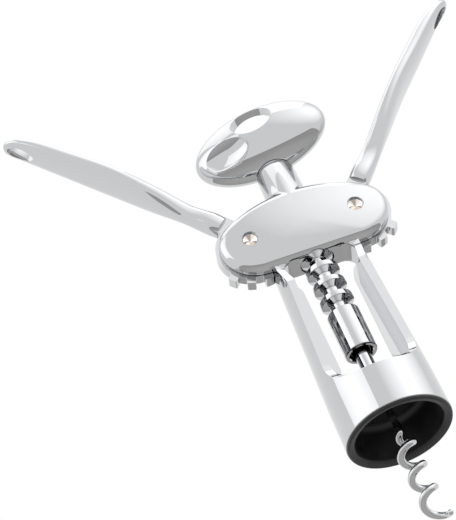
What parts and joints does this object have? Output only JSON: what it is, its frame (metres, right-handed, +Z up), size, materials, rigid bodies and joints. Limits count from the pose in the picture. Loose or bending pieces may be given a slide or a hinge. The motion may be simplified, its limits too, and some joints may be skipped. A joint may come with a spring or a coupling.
{
  "type": "wing corkscrew",
  "caption": "Chromed wing corkscrew: geared levers lift a round rack whose worm turns with a flat oval handle, on a bell foot with a dark liner.",
  "frame": {"origin": "middle of the bell's bottom rim, where the bottle's neck enters", "axes": "+Z up along the worm's axis towards the turning handle, +X towards the right lever, -Y out of the broad front face of the head"},
  "size_m": [0.1658, 0.037, 0.1981],
  "materials": {
    "frame_chrome": "mirror chrome plate on a zinc casting",
    "liner_plastic": "moulded black plastic",
    "lever_chrome": "mirror chrome plate",
    "pin_steel": "turned steel",
    "rack_chrome": "mirror chrome plate",
    "spindle_chrome": "mirror chrome plate",
    "worm_chrome": "mirror chrome plate on steel wire",
    "handle_chrome": "mirror chrome plate"
  },
  "bodies": {
    "frame": {"frame_casting": "frame_chrome", "bell_liner": "liner_plastic", "right_pivot_pin": "pin_steel", "left_pivot_pin": "pin_steel"},
    "rack": {"rack_tube": "rack_chrome"},
    "spindle": {"spindle_shaft": "spindle_chrome", "worm": "worm_chrome", "turning_handle": "handle_chrome"},
    "right_arm": {"right_lever": "lever_chrome"},
    "left_arm": {"left_lever": "lever_chrome"}
  },
  "joints": [
    {"name": "rack_slide", "type": "slide", "parent": "frame", "child": "rack", "axis": [0, 0, 1], "range_m": [0, 0.03386]},
    {"name": "handle_turn", "type": "hinge", "parent": "rack", "child": "spindle", "pos_m": [0, 0, 0.115], "axis": [0, 0, 1], "continuous": true},
    {"name": "right_lever_pivot", "type": "hinge", "parent": "frame", "child": "right_arm", "pos_m": [0.0189, 0, 0.0873], "axis": [0, 1, 0], "range_deg": [0, 134.2]},
    {"name": "left_lever_pivot", "type": "hinge", "parent": "frame", "child": "left_arm", "pos_m": [-0.0189, 0, 0.0873], "axis": [0, -1, 0], "range_deg": [0, 134.2]}
  ],
  "couplings": [
    {"joint": "right_lever_pivot", "follows": "rack_slide", "rad_per_m": 69.046},
    {"joint": "left_lever_pivot", "follows": "rack_slide", "rad_per_m": 69.046}
  ]
}
